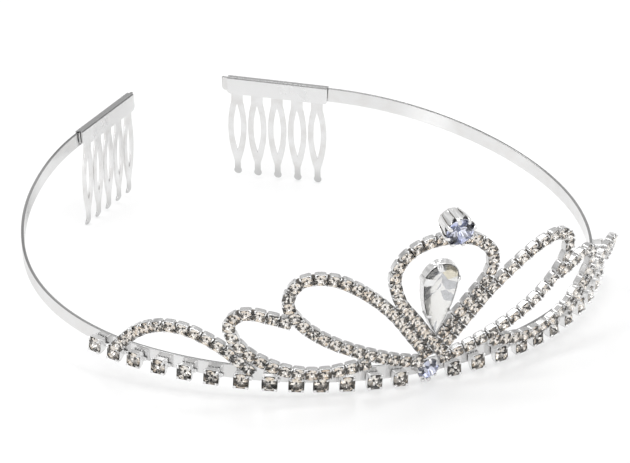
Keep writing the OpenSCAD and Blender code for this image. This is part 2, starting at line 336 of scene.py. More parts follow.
# Clamps: two channels folded from thin satin steel sheet. Each is pressed over a strip end together with
# its comb's top bar, and is open below and at both ends. The skirts' corners are rounded off.
clamp_sheet = 0.3 * mm
clamp_front = -1.22 * mm
clamp_rear = 1.14 * mm
clamp_top = 4.22 * mm
clamp_foot = -0.5 * mm
clamp_fold = 0.5 * mm
clamp_cut = 0.07 * mm
# Radius of the skirts' corners, towards the strip's middle and towards its free end
clamp_corners = (0.5 * mm, 1.3 * mm)
cut_steps = 2
bend_steps = 6
SIDES = [("left", -1), ("right", 1)]


def painted_fold_shade(grain):
    """Where painted shade darkens a clamp: darkest along its two bends, and less on the flat between them"""
    height = grain.axis("Z")
    bends = height.rise(clamp_top - 0.42 * mm, clamp_top - 0.28 * mm)
    flat = height.rise(clamp_top - 0.1 * mm, clamp_top - 0.02 * mm)
    return bends * (1 - 0.5 * flat)


# The clamps' colour carries painted shade along their bends
clamp_satin = metal_finish(
    "clamp_satin",
    bright=grey(0.8),
    dull=grey(0.785),
    gloss=(0.26, 0.28),
    stretch=(60, 1200, 1200),
    relief=0.0,
    dark_tint=grey(0.28),
    dark_where=painted_fold_shade,
)


def arc(x, y, radius, start, end, steps):
    """Points along an arc, with its angles in degrees"""
    angles = [math.radians(start + (end - start) * k / steps) for k in range(steps + 1)]
    return [(x + radius * math.cos(a), y + radius * math.sin(a)) for a in angles]


def clamp_outline(foot, inset):
    """The channel's section: up its rear, over the fold, down the front, and back along the inside"""
    front = clamp_front + inset
    rear = clamp_rear - inset
    top = clamp_top - inset
    sheet = clamp_sheet - 2 * inset
    bend = clamp_fold - inset
    hollow = bend - sheet
    cut = min(clamp_cut, sheet / 2)
    low = foot + inset + cut
    outline = arc(rear - cut, low, cut, -90, 0, cut_steps)
    outline += arc(rear - bend, top - bend, bend, 0, 90, bend_steps)
    outline += arc(front + bend, top - bend, bend, 90, 180, bend_steps)
    outline += arc(front + cut, low, cut, 180, 270, cut_steps)
    outline += arc(front + sheet - cut, low, cut, 270, 360, cut_steps)
    outline += arc(front + bend, top - bend, hollow, 180, 90, bend_steps)
    outline += arc(rear - bend, top - bend, hollow, 90, 0, bend_steps)
    outline += arc(rear - sheet + cut, low, cut, 180, 270, cut_steps)
    return outline


def clamp_foot_at(x):
    """Height of the skirts' lower edge, which rises round the corner at either end"""
    for corner, past in zip(clamp_corners, (clamp_corners[0] - x, x - clamp_length + clamp_corners[1])):
        if past > 0:
            return clamp_foot + corner - math.sqrt(max(0, corner ** 2 - past ** 2))
    return clamp_foot


near = [clamp_corners[0] * (1 - math.cos(math.radians(a))) for a in (0, 20, 40, 60, 90)]
last = [clamp_corners[1] * (1 - math.cos(math.radians(a))) for a in (90, 70, 55, 40, 25, 10, 0)]
far = [clamp_length - x for x in last]
# The cut ends are rounded too: their rings are drawn in by this much, and the next ones stand as far in
end_rounding = 0.4 * clamp_cut
ends = {0: end_rounding, clamp_length: end_rounding}
near.insert(1, end_rounding)
far.insert(-1, clamp_length - end_rounding)
middle = [near[-1] + (far[0] - near[-1]) * k / 12 for k in range(1, 12)]
rings = []
for x in near + middle + far:
    rings.append([(x, y, z) for y, z in clamp_outline(clamp_foot_at(x), ends.get(x, 0))])
points, faces = skin(rings)
for side, sign in SIDES:
    mirror = Matrix.Scale(sign, 4, (1, 0, 0))
    work = Work()
    work.add(points, faces, mirror @ on_strip(bent_length))
    clamp = work.piece("clamp_sheet_" + side, clamp_satin)
    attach(clamp, "root")
    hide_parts("clamp_" + side)


# Combs: each is stamped from one polished sheet, with five slotted, lens-shaped teeth under a plain bar.
# The bar sits inside the clamp behind the strip, and the blunt tips stand on the table.
comb_thick = 0.6
comb_behind = 0.12
comb_cut = 0.1
teeth = 5
tooth_pitch = 5.6
tooth_width = 5.1
tooth_drop = 24
bar_inset = 0.6
bar_low = 0.4
root_width = 3.2
root_length = 3
slot_width = 2.1
slot_length = 13.6
lens_length = 24
lens_middle = -10.1
tip_radius = 1.03
neck_width = 1.6
neck_top = -20
# The teeth hang straight down, so they turn back by the slope of the strip's ends and out by its lean
hang_back = math.tan(math.radians(BENDS[-1][2]))
hang_out = math.tan(band_lean)
# The last of each tooth is curled out of the sheet, from here down
curl_start = -21.6
curl = 0.1
edge_steps = 44
slot_steps = 24


def darker_tips(grain):
    """Where the combs are darker: the necks and tips of their teeth"""
    height = grain.axis("Y")
    return 1 - height.rise(-23 * mm, -19 * mm)


comb_steel = metal_finish(
    "comb_steel",
    bright=grey(0.78),
    dull=grey(0.7, 0.01),
    gloss=(0.14, 0.22),
    stretch=(1500, 100, 1500),
    relief=0.1,
    dark_tint=grey(0.57),
    dark_where=darker_tips,
)


def hang(point):
    """A point of the flat stamping in mm, moved to where its tooth hangs and curls"""
    x, y, z = point
    below = min(0, y)
    curled = curl * min(0, y - curl_start) ** 2
    return Vector((x + hang_back * below, y, z - hang_out * below + curled))


def lens_half(y, width, length):
    """Half width of a pointed lens at y from its middle"""
    if abs(y) >= length / 2:
        return 0
    radius = (length ** 2 + width ** 2) / (4 * width)
    return math.sqrt(radius ** 2 - y ** 2) - radius + width / 2


def tooth_half(y):
    """Half width of a tooth at y from the strip's lower edge: the widest of its root, lens, neck and tip"""
    half = lens_half(y - lens_middle, tooth_width, lens_length)
    tip_middle = tip_radius - tooth_drop
    if y > -root_length:
        half = max(half, root_width / 2)
    if tip_middle < y < neck_top:
        half = max(half, neck_width / 2)
    return max(half, math.sqrt(max(0, tip_radius ** 2 - (y - tip_middle) ** 2)))


def comb_outlines():
    """The stamping's outline in mm, then the outline of each tooth's slot"""
    length = clamp_length / mm
    first = (length - (teeth - 1) * tooth_pitch) / 2
    straight = bar_low + tooth_drop - 2 * tip_radius
    down = [bar_low - straight * k / edge_steps for k in range(edge_steps + 1)]
    down += [tip_radius - tooth_drop - tip_radius * math.sin(math.radians(a)) for a in range(-45, 90, 15)]
    outline = [(length - bar_inset, bar_low), (length - bar_inset, band_height / mm)]
    outline += [(bar_inset, band_height / mm), (bar_inset, bar_low)]
    slots = []
    for j in range(teeth):
        x = first + j * tooth_pitch
        outline += [(x - tooth_half(y), y) for y in down]
        outline.append((x, -tooth_drop))
        outline += [(x + tooth_half(y), y) for y in reversed(down)]
        ys = [slot_length * (k / slot_steps - 0.5) for k in range(1, slot_steps)]
        slot = [(x, lens_middle - slot_length / 2)]
        slot += [(x + lens_half(y, slot_width, slot_length), lens_middle + y) for y in ys]
        slot.append((x, lens_middle + slot_length / 2))
        slot += [(x - lens_half(y, slot_width, slot_length), lens_middle + y) for y in reversed(ys)]
        slots.append(slot)
    return [outline] + slots


def stamp(outlines, thick, cut):
    """Points and faces of a flat sheet with these outlines, its cut edges rounded over"""
    curve = bpy.data.curves.new("stamping", "CURVE")
    curve.dimensions = "2D"
    curve.fill_mode = "BOTH"
    curve.extrude = thick / 2 - cut
    curve.bevel_depth = cut
    curve.bevel_resolution = 2
    curve.offset = -cut
    for outline in outlines:
        spline = curve.splines.new("POLY")
        spline.points.add(len(outline) - 1)
        spline.use_cyclic_u = True
        for point, (x, y) in zip(spline.points, outline):
            point.co = (x, y, 0, 1)
    shown = bpy.data.objects.new("stamping", curve)
    mesh = bpy.data.meshes.new_from_object(shown)
    points = [tuple(vertex.co) for vertex in mesh.vertices]
    faces = [tuple(polygon.vertices) for polygon in mesh.polygons]
    bpy.data.objects.remove(shown)
    return points, faces


points, faces = stamp(comb_outlines(), comb_thick, comb_cut)
points = [hang(point) * mm for point in points]
behind = Matrix.Translation((0, (comb_behind + comb_thick / 2) * mm, 0))
upright = behind @ Matrix.Rotation(math.pi / 2, 4, "X")
for side, sign in SIDES:
    mirror = Matrix.Scale(sign, 4, (1, 0, 0))
    work = Work()
    work.add(points, faces, mirror @ on_strip(bent_length) @ upright)
    comb = work.piece("comb_sheet_" + side, comb_steel)
    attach(comb, "root")
    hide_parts("comb_" + side)


# Row of cups: square claw cups of thin bright-plated brass, soldered with gaps along the strip's front.
# Each holds a round foil-backed rhinestone under four corner claws, and keeps the stub of its link.
cup_rise = 0.6 * mm
cup_behind = 0.2 * mm
row_stone = 1.94 * mm
row_girdle = 2.3 * mm
# Places of the cups along the strip, in mm from its middle
CUP_AT = [7.5, 14.5, 21.5, 28, 34, 40.5, 47.5, 55, 62, 69, 76, 82, 88]
# Rings of a cup from its back, up its plain walls and over the rim, then down into the seat, which is
# painted dark with shade, in mm.
# Columns: half width, squareness, height over the back, dip of the rim between its corners
ROW_CUP = [
    (1.62, 5, 0, 0),
    (1.7, 5, 0.03, 0),
    (1.73, 6, 0.1, 0),
    (1.75, 6, 0.3, 0),
    (1.84, 6, 0.36, 0),
    (2.06, 6, 2.2, 0.05),
    (2.09, 6, 2.34, 0.12),
    (2.07, 5, 2.42, 0.14),
    (2.03, 5, 2.43, 0.14),
]
ROW_SEAT = [
    (2.01, 4, 2.36, 0.1),
    (2.0, 3.2, 2.2, 0),
    (1.97, 2.7, 2.05, 0),
    (0.6, 2, 0.7, 0),
]

cup_plate = metal_finish(
    "cup_plate",
    bright=grey(0.86),
    dull=grey(0.78, 0.01),
    gloss=(0.14, 0.24),
    stretch=(600, 600, 1500),
    relief=0.06,
    mirror=0.6,
)


def shaded_metal(name, shade):
    """Plated metal painted dark with the shade that falls in seats, grooves and gaps: dull and a little
    mottled
    """
    material, wire = new_finish(name)
    shade_mottle = stored(wire, "grain", "Vector").noise(scale=1800.0, detail=2.0)
    inputs = {
        "Base Color": shade_mottle.rise(0.35, 0.65).mix(grey(shade, 0.08), grey(2 * shade, 0.12)),
        "Metallic": 0.6,
        "Roughness": 0.3 + 0.2 * shade_mottle,
    }
    end_surface(wire, inputs)
    return material


def squared(half, angle, squareness):
    """Point at an angle on an outline that is a circle at squareness 2, and nearly a square at 6"""
    c = math.cos(angle)
    s = math.sin(angle)
    reach = half / (abs(c) ** squareness + abs(s) ** squareness) ** (1 / squareness)
    return reach * c, reach * s


def cup_skin(walls, seat, count):
    """Points, faces and finishes of a cup: its plated walls are 0 and its seat 1, painted dark with shade"""
    # How far the points of a ring are crowded towards its corners
    crowding = 0.17
    rings = []
    for half, squareness, height, dip in walls + seat:
        ring = []
        for k in range(count):
            turn = 2 * math.pi * k / count
            angle = turn + crowding * math.sin(4 * turn)
            x, y = squared(half, angle, squareness)
            ring.append(Vector((x, y, height - dip * math.cos(2 * angle) ** 2)) * mm)
        rings.append(ring)
    points, faces = skin(rings)
    plated = 1 + (len(walls) - 1) * count
    return points, faces, [0] * plated + [1] * (len(faces) - plated)


def prong(line, widths, thick=1.0, across=None, sides=8):
    """Points and faces of a rod along a line of points, with a round tip. widths are half widths in mm,
    thick is its depth as a share of its width, and across the way that its width lies."""
    line = [Vector(point) for point in line]
    widths = [width * mm for width in widths]
    last = len(line) - 1
    rings = []
    for i, point in enumerate(line):
        ahead = (line[min(i + 1, last)] - line[max(i - 1, 0)]).normalized()
        if across:
            side = Vector(across)
        elif i == 0:
            side = ahead.orthogonal()
        side = (side - side.dot(ahead) * ahead).normalized()
        front = ahead.cross(side)
        tip = [(0, 1)]
        if i == last:
            tip += [(math.sin(math.radians(a)), math.cos(math.radians(a))) for a in (30, 55, 75, 86)]
        for reach, narrow in tip:
            ring = []
            for k in range(sides):
                angle = 2 * math.pi * (k + 0.5) / sides
                width = widths[i] * narrow
                spread = width * math.cos(angle) * side + width * thick * math.sin(angle) * front
                ring.append(point + widths[i] * thick ** 0.5 * reach * ahead + spread)
            rings.append(ring)
    return skin(rings)


def corner_prongs(line, widths):
    """A claw for each corner of a square cup. Its line gives how far out it is and how high, in mm"""
    claws = []
    for x in (-1, 1):
        for y in (-1, 1):
            path = [Vector((x * flat, y * flat, height)) * mm for flat, height in line]
            claws.append(prong(path, widths))
    return claws


# Shares in every cut stone: how far the crown's middle corners are drawn in and how high they lie, and
# how much of its depth the back climbs on its way out to the girdle
star_inset = 0.02
star_height = 0.46
rear_rise = 0.9


def cut_stone(outline, middle, table, crown, girdle, depth, halves, culet):
    """Points, faces and finishes of a cut stone with its girdle about z = 0: glass is 0, the foil on its
    main rear facets 1 and on those next to the girdle 2, and the flat tip of its back 3.
    outline lists the girdle's corners, two for each main facet, and middle gives the spine point that
    each corner's facets run to. table, halves and culet are shares of the way out from there."""
    points = []
    faces = []
    finishes = []
    found = {}

    def corner(flat, height):
        """Number of the point there. Corners that fall together are one"""
        key = (round(flat[0] * 1e7), round(flat[1] * 1e7), round(height * 1e7))
        if key not in found:
            found[key] = len(points)
            points.append(Vector((flat[0], flat[1], height)))
        return found[key]

    def facet(finish, *corners):
        """Adds a facet, unless its corners fall together"""
        kept = [c for i, c in enumerate(corners) if c != corners[i - 1]]
        if len(kept) > 2:
            faces.append(kept)
            finishes.append(finish)

    def between(k, share):
        """Place at a share of the way from the spine to the outline's corner k"""
        flat = outline[k % len(outline)]
        spine = middle(flat)
        return spine + share * (flat - spine)

    mains = len(outline) // 2
    star = (table + 1) / 2 - star_inset
    level = crown * star_height
    for j in range(mains):
        k = 2 * j
        tops = [corner(between(k + step, table), crown) for step in (0, 2)]
        stars = [corner(between(k + step, star), level) for step in (-1, 1)]
        rim = [corner(between(k + step, 1), girdle) for step in (0, 1, 2)]
        edge = [corner(between(k + step, 1), -girdle) for step in (0, 1, 2)]
        low = [corner(between(k + step, halves), -depth * (1 - rear_rise * halves)) for step in (-1, 1)]
        points_down = [corner(between(k + step, culet), -depth) for step in (-1, 0, 1)]
        facet(0, tops[0], stars[0], rim[0], stars[1])
        facet(0, tops[0], stars[1], tops[1])
        facet(0, stars[1], rim[0], rim[1])
        facet(0, stars[1], rim[1], rim[2])
        facet(0, rim[0], edge[0], edge[1], rim[1])
        facet(0, rim[1], edge[1], edge[2], rim[2])
        facet(2, low[1], edge[1], edge[0])
        facet(2, low[1], edge[2], edge[1])
        facet(1, points_down[1], low[1], edge[0], low[0])
        facet(1, points_down[0], points_down[1], low[0])
        facet(1, points_down[1], points_down[2], low[1])
    facet(0, *[corner(between(2 * j, table), crown) for j in range(mains)])
    if culet:
        facet(3, *[corner(between(-k, culet), -depth) for k in range(len(outline))])
    return points, faces, finishes


def round_cut(radius, crown, depth, table, squareness=2.0):
    """A round brilliant with eight main facets, or one whose outline is a little square"""
    mains = 8
    outline = [Vector(squared(radius, math.pi * k / mains, squareness)) for k in range(2 * mains)]
    centre = Vector((0, 0))
    girdle = 0.03 * radius
    return cut_stone(outline, lambda flat: centre, table, crown, girdle, depth, halves=0.42, culet=0.13)


def dress(finishes, chance):
    """Draws a foil for each rear facet: bright is 1, tinted 2 and dark 3. The tinted and dark ones are
    painted reflections of the parts of the room that those facets mirror. The facets next to the girdle are
    tinted more often."""
    draws = {0: [0], 1: [1] * 9 + [2, 3], 2: [1] * 4 + [2] * 3 + [3], 3: [3]}
    return [chance.choice(draws[finish]) for finish in finishes]


def askew(chance, axis, tip, spin):
    """Matrix of a slight random turn, by up to tip degrees about an axis and up to spin about z"""
    tipped = Matrix.Rotation(math.radians(chance.uniform(-tip, tip)), 4, axis)
    return tipped @ Matrix.Rotation(math.radians(chance.uniform(-spin, spin)), 4, "Z")


def set_stone(work, brilliant, place, axis, chance, lot):
    """Sets a stone at its girdle's place, a little askew. Its finishes follow the cup's own two"""
    points, faces, finishes = brilliant
    seat = askew(chance, axis, tip=3, spin=4)
    foils = [2 + foil for foil in dress(finishes, chance)]
    work.add(points, faces, place @ seat, foils, smooth=False, lot=lot)


def stone_glass(name, clear, tinted, refraction=1.55):
    """Cut crystal. Each stone takes its own tint, and its facets are rubbed a little as they are worn"""
    material, wire = new_finish(name)
    rubbed = stored(wire, "grain", "Vector").noise(scale=900.0, detail=2.0)
    inputs = {
        "Base Color": stored(wire, "lot", "Fac").mix(clear, tinted),
        "Roughness": 0.03 * rubbed.rise(0.5, 0.8),
        "IOR": refraction,
        "Transmission Weight": 1.0,
    }
    end_surface(wire, inputs)
    return material


def stone_foil(name, light, deep, mirror=0.9):
    """Mirror foil and lacquer on a stone's back, which give it its colour through the glass. The tinted,
    grey and dark ones carry painted reflections of the room.
    """
    material, wire = new_finish(name)
    creased = stored(wire, "grain", "Vector").noise(scale=500.0, detail=2.0)
    shade = 0.6 * stored(wire, "lot", "Fac") + 0.4 * creased.rise(0.35, 0.65)
    inputs = {
        "Base Color": shade.mix(light, deep),
        "Metallic": mirror,
        "Roughness": 0.04 + 0.06 * creased,
    }
    end_surface(wire, inputs)
    return material


rhinestone_glass = stone_glass("rhinestone_glass", (1, 0.99, 0.98, 1), (0.98, 0.95, 0.92, 1))
rhinestone_foil = stone_foil("rhinestone_foil", (0.98, 0.97, 0.95, 1), (0.94, 0.91, 0.87, 1))
# The tinted and dark foils are painted reflections: facets that mirror warm and dark parts of the room
rhinestone_tint = stone_foil("rhinestone_tint", (0.87, 0.81, 0.73, 1), (0.74, 0.65, 0.55, 1))
rhinestone_dark = stone_foil("rhinestone_dark", (0.03, 0.028, 0.025, 1), (0.015, 0.013, 0.012, 1))
# Painted shade for the cups' seats, the links between chain cups and the grooves beside the top setting's
# ribs
cup_shade = shaded_metal("cup_shade", 0.1)

row_shell = cup_skin(ROW_CUP, ROW_SEAT, 48)
row_brilliant = round_cut(row_stone, crown=0.7 * mm, depth=1.3 * mm, table=0.5, squareness=2.15)
line = [(1.5, 0.3), (1.62, 1.2), (1.74, 2.3), (1.7, 2.6), (1.56, 2.8), (1.44, 2.88)]
corner_claws = corner_prongs(line, (0.24, 0.3, 0.35, 0.37, 0.36, 0.33))
# Lugs that close the groove along the back of the upper wall, but for three short notches
rear_lugs = []
for low, high in ((-1.66, -0.98), (-0.62, -0.22), (0.16, 0.56), (0.92, 1.66)):
    outline = rounded_outline(low * mm, high * mm, 1.6 * mm, 1.84 * mm, 0.05 * mm)
    rear_lugs.append(skin([[(a, b, z * mm) for a, b in outline] for z in (0.02, 0.4)]))
# Flat stub of the link on the viewer's right, lying against the strip
line = [Vector((x, 0, 0.25)) * mm for x in (1.6, 2, 2.3)]
stub = prong(line, (0.62, 0.62, 0.55), thick=0.35, across=(0, 1, 0))

# Finishes inside a cup's plated walls: its seat's painted shade, then its stone's
inner_finishes = (cup_shade, rhinestone_glass, rhinestone_foil, rhinestone_tint, rhinestone_dark)
chance = random.Random(7)
for side, sign in (("l", -1), ("r", 1)):
    for i, at in enumerate(CUP_AT):
        place = on_strip(sign * at * mm) @ Matrix.Translation((0, -band_thick - cup_behind, cup_rise))
        place = place @ Matrix.Rotation(math.pi / 2, 4, "X")
        lot = chance.random()
        work = Work()
        points, faces, finishes = row_shell
        work.add(points, faces, place, finishes, lot=lot)
        for points, faces in [stub] + corner_claws + rear_lugs:
            work.add(points, faces, place, lot=lot)
        set_stone(work, row_brilliant, place @ Matrix.Translation((0, 0, row_girdle)), "X", chance, lot)
        number = f"{side}{i + 1:02d}"
        cup = work.piece("stone_cup_" + number, cup_plate, *inner_finishes)
        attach(cup, "root")
        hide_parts("row_cup_" + number)


# Outer arcs: short bows of cup chain near the ends of the row. The chain is small square cups of plated
# brass on links, each with a rhinestone under four bead claws. It is soldered where it meets the row.
face_out = 4.2 * mm
chain_lean = math.radians(13.5)
chain_pitch = 3.5 * mm
chain_stone = 1.62 * mm
chain_girdle = -0.16 * mm
# Rings of a chain cup and of its seat, with the same columns as the row's, its front at 0
CHAIN_CUP = [
    (1.44, 5, -1.9, 0),
    (1.54, 5, -1.87, 0),
    (1.58, 6, -1.78, 0),
    (1.61, 6, -1.5, 0),
    (1.67, 6, -0.4, 0.05),
    (1.68, 6, -0.24, 0.1),
    (1.67, 5, -0.14, 0.12),
    (1.65, 5, -0.12, 0.12),
]
CHAIN_SEAT = [
    (1.64, 4, -0.16, 0.1),
    (1.63, 3.2, -0.3, 0),
    (1.6, 2.7, -0.5, 0),
    (0.5, 2, -1.5, 0),
]
# Routes of the stones on the chains' standing face in mm: place along the strip, height up the face
OUTER_ARC = [
    (79.2, 4.4), (75.3, 8.8), (71.3, 12.3), (67.2, 14.5), (63.5, 15.4), (59.8, 15.2),
    (56.5, 14), (53.2, 12.2), (50.4, 10.1), (47.9, 7.6), (45.3, 5),
]

# The row cups' plating again, made darker with painted shade for the chain
chain_plate = metal_finish(
    "chain_plate",
    bright=grey(0.7),
    dull=grey(0.6, 0.01),
    gloss=(0.16, 0.28),
    stretch=(700, 700, 1800),
    relief=0.08,
    mirror=0.85,
)

chain_shell = cup_skin(CHAIN_CUP, CHAIN_SEAT, 32)
chain_brilliant = round_cut(chain_stone, crown=0.56 * mm, depth=1.05 * mm, table=0.5, squareness=2.3)
line = [(1.3, -1.4), (1.42, -0.5), (1.42, -0.1), (1.33, 0.12), (1.22, 0.2)]
chain_claws = corner_prongs(line, (0.18, 0.2, 0.24, 0.25, 0.24))
# The link to the next cup is painted dark with the shade in the gap between cups
line = [Vector((x, 0, -1.3)) * mm for x in (1.3, 1.7, 2)]
chain_link = prong(line, (1.1, 1.1, 1.1), thick=0.4, across=(0, 1, 0))


def on_face(s, r, off):
    """Place at s along the strip, r up the chains' face and off in front of it, and the way it faces"""
    place, along, out, up = course(s)
    face_up = math.cos(chain_lean) * up + math.sin(chain_lean) * out
    front = math.cos(chain_lean) * out - math.sin(chain_lean) * up
    return place + face_out * out + r * face_up + off * front, front


def smooth_route(route, side):
    """A curve through the route's points, as a list of places and the way that the chain faces there"""
    steps = 12
    last = len(route) - 1
    spots = []
    for i in range(last):
        a, b, c, d = (Vector(route[min(max(i + k, 0), last)]) for k in (-1, 0, 1, 2))
        for step in range(steps + (i == last - 1)):
            t = step / steps
            flat = 2 * b + t * (c - a)
            flat += t ** 2 * (2 * a - 5 * b + 4 * c - d)
            flat += t ** 3 * (3 * b - a - 3 * c + d)
            flat *= 0.5
            spots.append(on_face(side * flat.x * mm, flat.y * mm, 0))
    return spots


def chain_places(route, side, inset):
    """A matrix for each cup of a chain, evenly along its route: x along the chain, z out of the stone"""
    spots = smooth_route(route, side)
    lengths = [0]
    for here, before in zip(spots[1:], spots):
        lengths.append(lengths[-1] + (here[0] - before[0]).length)
    gaps = round((lengths[-1] - 2 * inset) / chain_pitch)
    places = []
    at = 0
    for i in range(gaps + 1):
        want = inset + i * (lengths[-1] - 2 * inset) / gaps
        while at < len(lengths) - 2 and lengths[at + 1] < want:
            at += 1
        share = (want - lengths[at]) / (lengths[at + 1] - lengths[at])
        place = spots[at][0].lerp(spots[at + 1][0], share)
        ahead = (spots[min(at + 3, len(spots) - 1)][0] - spots[max(at - 2, 0)][0]).normalized()
        across = ahead.cross(spots[at][1]).normalized()
        places.append(axes(place, ahead, -across, across.cross(ahead)))
    return places


def chain(name, route, side, inset=0.0):
    """One length of cup chain, with its links, cups, claws and stones joined in one piece"""
    chance = random.Random(name)
    work = Work()
    places = chain_places(route, side, inset)
    for i, place in enumerate(places):
        lot = chance.random()
        place = place @ askew(chance, "X", tip=2, spin=1.5)
        points, faces, finishes = chain_shell
        work.add(points, faces, place, finishes, lot=lot)
        for points, faces in chain_claws:
            work.add(points, faces, place, lot=lot)
        if i < len(places) - 1:
            # The link takes the seats' painted shade
            points, faces = chain_link
            work.add(points, faces, place, finish=1, lot=lot)
        set_stone(work, chain_brilliant, place @ Matrix.Translation((0, 0, chain_girdle)), "Y", chance, lot)
    return work.piece(name, chain_plate, *inner_finishes)


for side, sign in SIDES:
    outer_arc = chain("outer_arc_chain_" + side, OUTER_ARC, sign)
    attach(outer_arc, "root")
    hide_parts("outer_arc_" + side)


# Side loops: long low hooks of the same cup chain. Each curls over above the row and runs back down
# along it towards the middle, where it is soldered to the cups.
SIDE_LOOP = [
    (36.4, 21.1), (40, 22.2), (43.3, 23), (46.2, 22.5), (48.6, 20.2), (49.2, 17.2),
    (48.2, 13.8), (46.2, 10.9), (44, 8.9), (41.2, 7.1), (38, 5.6), (34.6, 4.7),
    (31.3, 4.3), (28, 4.4), (24.5, 5), (21, 6), (17.8, 6.9),
]
for side, sign in SIDES:
    side_loop = chain("side_loop_chain_" + side, SIDE_LOOP, sign)
    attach(side_loop, "root")
    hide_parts("side_loop_" + side)


# Large loops: slanted teardrops of cup chain on either side of the middle. Both ends of each meet over
# the foot stone, and the side loop's upper end is soldered to its outer curve.
LARGE_LOOP = [
    (3.1, 5.6), (6.4, 6.4), (10, 7.4), (13, 8.4), (16, 9.5), (18.8, 10.7), (22.2, 12.3), (25.6, 14.2),
    (28.7, 16.3), (31.4, 18.7), (33.6, 21.4), (35.3, 24.6), (35.8, 27.8), (35.1, 31), (33.4, 33.7), (31, 35),
    (28.3, 35.2), (25.5, 34.4), (22.8, 32.9), (20.2, 30.9), (17.6, 28.5), (15.1, 25.9), (12.8, 23.4),
    (10.8, 20.9), (8.85, 18.2), (7, 15.5), (5.1, 12.8), (3.2, 10.1), (1.7, 7.9),
]
for side, sign in SIDES:
    large_loop = chain("large_loop_chain_" + side, LARGE_LOOP, sign, inset=0.7 * mm)
    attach(large_loop, "root")
    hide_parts("large_loop_" + side)


# Centre loop: the tall loop of cup chain in the middle, which frames the pear stone and carries the
# round stone on its crest. Its two ends come down between the large loops.
CENTRE_LOOP = [
    (0.2, 11.1), (-1, 12.6), (-3.1, 15.4), (-5, 18.3), (-6.8, 20.8), (-8.8, 23.4),
    (-10.4, 26), (-11.7, 29.1), (-12.5, 32.2), (-12.6, 35.3), (-11.8, 38.3), (-10.1, 41),
    (-7.6, 43.1), (-4.6, 44.3), (-1.5, 44.7), (1.8, 44.5), (4.9, 43.6), (7.8, 42.1),
    (10.4, 39.7), (12.2, 37), (13, 34), (12.9, 31.2), (12, 28.6), (10.3, 26),
    (8.4, 23.4), (6.6, 20.9), (4.8, 18.4), (3.2, 16), (2.2, 14.3),
]
centre_loop = chain("centre_loop_chain", CENTRE_LOOP, 1)
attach(centre_loop, "root")
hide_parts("centre_loop")


# Top setting: a deep tapered cup of plated brass on the crest. Arches are cut between its eight ribs,
# and each rib runs on as a claw that is folded over the edge of the stone.
top_stone_width = 7.9 * mm
top_place = (49.9 * mm, 3.8 * mm)
top_depth = 6 * mm
top_back = 3.4 * mm
top_wall = 0.2 * mm
round_claws = 8
# How far the first claw stands past the viewer's right, as a share of the step to the next
claw_start = 0.35
stone_gap = 0.05 * mm

setting_plate = metal_finish(
    "setting_plate",
    bright=grey(0.84),
    dull=grey(0.76, 0.01),
    gloss=(0.1, 0.2),
    stretch=(700, 700, 700),
    relief=0.12,
    mirror=0.65,
)


def middle_place(r, off):
    """Matrix on the middle of the diadem: x to the viewer's right, y up the chains' face, z out of it"""
    place, front = on_face(0, r, off)
    across = Vector((1, 0, 0))
    return axes(place, across, front.cross(across), front)


def arched_cup(rim, back, depth, wall, arch, rib):
    """Points and faces of a cup that widens to its rim, with arches between its ribs"""
    count = 96
    # Columns: share of the way from back to rim, how far inside the outer wall, share of the arch's dip
    rows = [
        (0, 0.5 * wall, 0), (0.01, 0.12 * wall, 0), (0.04, 0, 0), (0.12, 0, 0), (0.16, 0.25 * wall, 0),
        (0.4, 0.25 * wall, 0), (0.7, 0.15 * wall, 0.2), (0.9, 0, 0.75), (0.98, 0.1 * wall, 1),
        (1, 0.4 * wall, 1), (0.98, 0.85 * wall, 1), (0.8, wall, 0.6), (0.3, wall, 0), (0.12, wall, 0),
    ]
    rings = []
    for rise, inside, dipped in rows:
        ring = []
        for k in range(count):
            angle = 2 * math.pi * k / count
            between = 0.5 - 0.5 * math.cos(round_claws * angle)
            radius = back + (rim - back) * rise - inside + rib * (1 - between) ** 2 * min(1, 4 * rise)
            height = -depth * (1 - rise) - arch * dipped * between ** 0.7
            ring.append(Vector((radius * math.cos(angle), radius * math.sin(angle), height)))
        rings.append(ring)
    return skin(rings)


def folded_claw(line, widths, thick, turn):
    """A flat claw along a line of distances and heights, standing at a turn about the setting's axis"""
    spin = Matrix.Rotation(turn, 3, "Z")
    path = [spin @ Vector((radius, 0, height)) for radius, height in line]
    return prong(path, widths, thick, across=spin @ Vector((0, 1, 0)), sides=10)


work = Work()
rim = top_stone_width / 2 + stone_gap + top_wall
spot = middle_place(*top_place)
mouth = rim - 0.15 * mm
cup = arched_cup(mouth, top_back, top_depth, top_wall, arch=1.5 * mm, rib=0.05 * mm)
work.add(*cup, spot)
for k in range(round_claws):
    turn = 2 * math.pi * (k + claw_start) / round_claws
    # A dark strip under the rib and wider than it: painted shade of a groove on both sides of the rib
    line = [(top_back - 0.05 * mm, -5.7 * mm), (0.96 * rim, -2.6 * mm), (rim, -0.7 * mm)]
    work.add(*folded_claw(line, (0.44, 0.47, 0.5), thick=0.3, turn=turn), spot, finish=1)
    # The rib, which runs on as the claw
    line = [(top_back + 0.05 * mm, -5.8 * mm), (0.99 * rim, -2.6 * mm), (rim + 0.08 * mm, -0.5 * mm)]
    line += [(rim + 0.02 * mm, 0.2 * mm), (rim - 0.22 * mm, 0.62 * mm), (rim - 0.62 * mm, 0.86 * mm)]
    work.add(*folded_claw(line, (0.34, 0.38, 0.42, 0.5, 0.56, 0.52), thick=0.6, turn=turn), spot)
top_setting = work.piece("top_cup", setting_plate, cup_shade)
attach(top_setting, "root")
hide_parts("top_setting")


# Top stone: a round brilliant of pale lilac-blue crystal with a silvered back, over two chain cups wide.
# It lies in the top setting, held by the eight claws.
lilac_glass = stone_glass("lilac_glass", (0.93, 0.94, 0.99, 1), (0.88, 0.9, 0.98, 1))
lilac_foil = stone_foil("lilac_foil", (0.95, 0.955, 0.98, 1), (0.86, 0.87, 0.95, 1))
